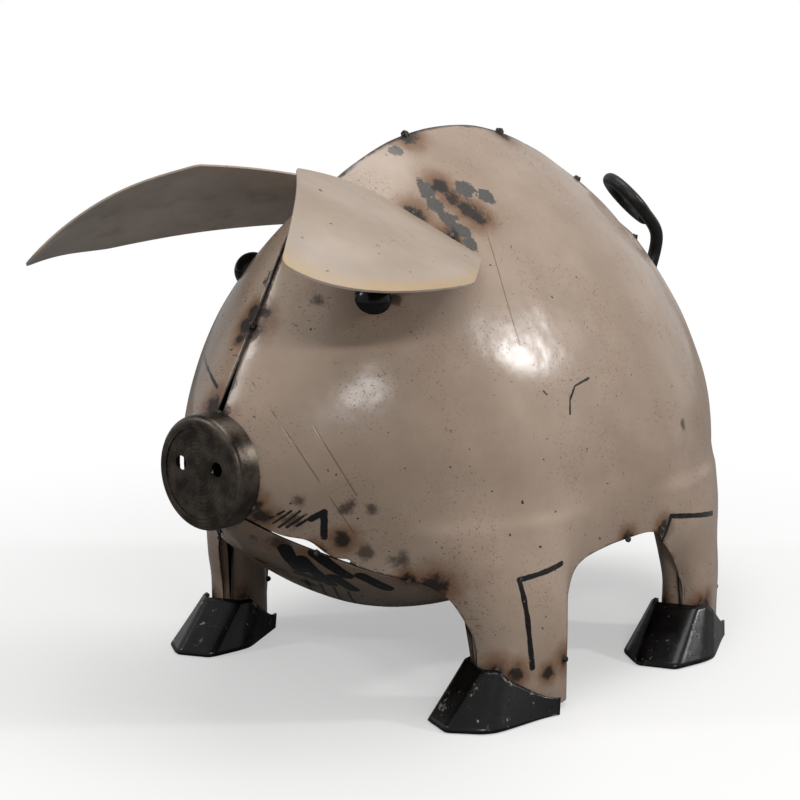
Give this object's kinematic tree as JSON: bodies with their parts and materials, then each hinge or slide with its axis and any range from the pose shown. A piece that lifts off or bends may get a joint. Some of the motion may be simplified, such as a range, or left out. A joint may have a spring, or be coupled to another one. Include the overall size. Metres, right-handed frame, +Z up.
{
  "type": "pig figurine",
  "caption": "Standing pig figurine welded from curved painted sheet, with flap ears, cup snout, boxy black hooves and a curled bar tail.",
  "frame": {"origin": "centre of the overall box, on the floor under the hooves", "axes": "+Z up, the nose points to -Y, the pig's left is +X"},
  "size_m": [0.3268, 0.5176, 0.3554],
  "materials": {
    "painted_sheet": "aged beige paint, speckled and scratched, satin",
    "belly_sheet": "aged beige paint with worn black printed shapes",
    "ear_sheet": "beige paint on top, dark grey underside",
    "black_hoof": "glossy black paint, chipped at the edges",
    "snout_steel": "turned rings, dull with bright rim",
    "black_eye": "high gloss black",
    "black_bar": "satin black",
    "weld_metal": "burnt weld metal, dark with brown edges"
  },
  "bodies": {
    "root": {"belly_left_weld_tacks": "weld_metal", "belly_panel": "belly_sheet", "belly_right_weld_tacks": "weld_metal", "face_weld_tacks": "weld_metal", "front_left_hoof": "black_hoof", "front_left_hoof_welds": "weld_metal", "front_left_leg_inner": "painted_sheet", "front_right_hoof": "black_hoof", "front_right_hoof_welds": "weld_metal", "front_right_leg_inner": "painted_sheet", "left_ear": "ear_sheet", "left_ear_weld_tacks": "weld_metal", "left_eye": "black_eye", "left_side_panel": "painted_sheet", "rear_left_hoof": "black_hoof", "rear_left_hoof_welds": "weld_metal", "rear_left_leg_inner": "painted_sheet", "rear_right_hoof": "black_hoof", "rear_right_hoof_welds": "weld_metal", "rear_right_leg_inner": "painted_sheet", "right_ear": "ear_sheet", "right_ear_weld_tacks": "weld_metal", "right_eye": "black_eye", "right_side_panel": "painted_sheet", "snout_cap": "snout_steel", "snout_weld_tacks": "weld_metal", "spine_weld_tacks": "weld_metal", "tail": "black_bar", "tail_weld": "weld_metal"}
  },
  "joints": []
}
